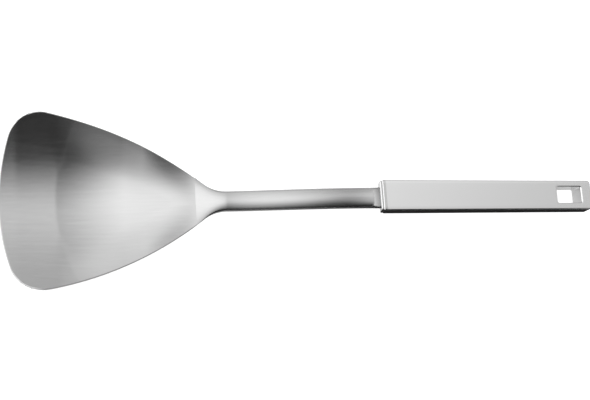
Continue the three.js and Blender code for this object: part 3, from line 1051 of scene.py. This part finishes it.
def studio_world():
    """A broad soft panel overhead, brightest towards -X, and a second one over the handle"""
    world = bpy.data.worlds.new("studio")
    world.use_nodes = True
    tree = world.node_tree
    tree.nodes.clear()
    direction = add_node(tree, "ShaderNodeTexCoord").outputs["Generated"]
    to = add_node(tree, "ShaderNodeSeparateXYZ", {0: direction}).outputs
    slant = add_node(
        tree, "ShaderNodeVectorMath", {0: direction, 1: PANEL_SLANT},
        operation="DOT_PRODUCT").outputs["Value"]

    def soft(value, levels):
        return map_range(tree, value, *levels, "SMOOTHSTEP")

    edge = soft(slant, PANEL_EDGE)
    dark = soft(to["X"], PANEL_DARK)
    bright = soft(to["X"], PANEL_BRIGHT)
    panel = add_node(
        tree, "ShaderNodeMix", {"Factor": edge, 2: dark, 3: bright}, data_type="FLOAT").outputs[0]
    panel = maths(tree, "MULTIPLY", panel, soft(to["Y"], PANEL_FAR_SIDE))
    second = maths(tree, "MULTIPLY", soft(to["X"], SECOND_START), map_range(tree, to["X"], *SECOND_FALL))
    second = maths(tree, "MULTIPLY", second, soft(to["Y"], SECOND_NEAR_SIDE))
    second = maths(tree, "MULTIPLY", second, soft(to["Y"], SECOND_FAR_SIDE))
    level = maths(tree, "ADD", panel, second)
    lit = add_node(tree, "ShaderNodeBackground", {"Color": (1, 1, 1, 1), "Strength": level})
    white = add_node(tree, "ShaderNodeBackground", {"Color": (1, 1, 1, 1), "Strength": 1.0})
    seen = add_node(tree, "ShaderNodeLightPath").outputs["Is Camera Ray"]
    mixed = add_node(tree, "ShaderNodeMixShader", {0: seen, 1: lit.outputs[0], 2: white.outputs[0]})
    add_node(tree, "ShaderNodeOutputWorld", {"Surface": mixed.outputs[0]})
    return world


def dark_card(stage):
    """Painted reflected shade: a dark card beside the tool, blackest beside the handle, which only
    reflections show, standing in for the shade that the steel's sides mirror
    """
    bpy.ops.mesh.primitive_plane_add(size=1)
    card = bpy.context.object
    across = -stage.card_from_middle - stage.card_width / 2
    card.scale = (stage.card_length, stage.card_width, 1)
    card.location = (stage.card_middle, across, stage.card_height)
    card = name_new("dark_card")
    material = bpy.data.materials.new("dark_card")
    material.use_nodes = True
    tree = material.node_tree
    place = add_node(tree, "ShaderNodeTexCoord").outputs["Object"]
    mouth = rest_place().translation.x
    # Painted reflected shade: grey beside the stem, darkening to black beside the handle
    tone = along_tool(tree, place, stage.card_grey_end, mouth, stage.card_grey, stage.card_black)
    tree.links.new(tone, tree.nodes["Principled BSDF"].inputs["Base Color"])
    card.data.materials.append(material)
    card.visible_camera = False
    card.visible_diffuse = False
    card.visible_shadow = False


class TURNER_OT_stage(bpy.types.Operator):
    """Sets the pale floor, the soft light and the camera"""

    bl_idname = "turner.stage"
    bl_label = "Stage"

    clip_share = 0.01

    def execute(self, context):
        scene = context.scene
        stage = scene.turner.stage
        begin()
        bpy.ops.mesh.primitive_plane_add(size=stage.floor, location=(0, 0, -stage.floor_gap))
        floor = name_new("pale_floor")
        floor.data.materials.append(floor_material(stage))
        dark_card(stage)
        scene.world = studio_world()
        scene.view_settings.view_transform = "Standard"
        turn = Euler((stage.tilt, stage.lean, stage.roll), "ZXY").to_matrix()
        bpy.ops.object.camera_add(location=Vector(stage.aim) + turn @ Vector((0, 0, stage.distance)))
        camera = context.object
        camera.name = "camera"
        camera.rotation_euler = turn.to_euler()
        camera.data.lens = stage.lens / MM
        camera.data.clip_start = stage.distance * self.clip_share
        scene.camera = camera
        return {"FINISHED"}


class TURNER_PT_panel(bpy.types.Panel):
    """Lists the turner's pieces and sizes"""

    bl_idname = "TURNER_PT_panel"
    bl_label = "Steel Turner"
    bl_space_type = "VIEW_3D"
    bl_region_type = "UI"
    bl_category = "Turner"

    def draw(self, context):
        for operator in PIECE_OPERATORS:
            self.layout.operator(operator.bl_idname)
        settings = context.scene.turner
        for group_name in TurnerSettings.__annotations__:
            group = getattr(settings, group_name)
            box = self.layout.box()
            box.label(text=group_name.title())
            for name in group.__annotations__:
                box.prop(group, name)


PIECE_OPERATORS = (
    TURNER_OT_stage,
    TURNER_OT_blade,
    TURNER_OT_stem,
    TURNER_OT_handle_shells,
    TURNER_OT_front_cap,
    TURNER_OT_eye_sleeve,
)
CLASSES = (
    HandleSizes, MouthSizes, EyeSizes, StemSizes, BladeSizes, SteelFinish, StageSizes, TurnerSettings,
    *PIECE_OPERATORS, TURNER_PT_panel,
)


def register():
    for item in CLASSES:
        bpy.utils.register_class(item)
    bpy.types.Scene.turner = PointerProperty(type=TurnerSettings)


def unregister():
    del bpy.types.Scene.turner
    for item in reversed(CLASSES):
        bpy.utils.unregister_class(item)


def main():
    register()
    bpy.ops.turner.stage()
    bpy.ops.turner.blade()
    bpy.ops.turner.stem()
    bpy.ops.turner.handle_shells()
    bpy.ops.turner.front_cap()
    bpy.ops.turner.eye_sleeve()


if __name__ == "__main__":
    main()
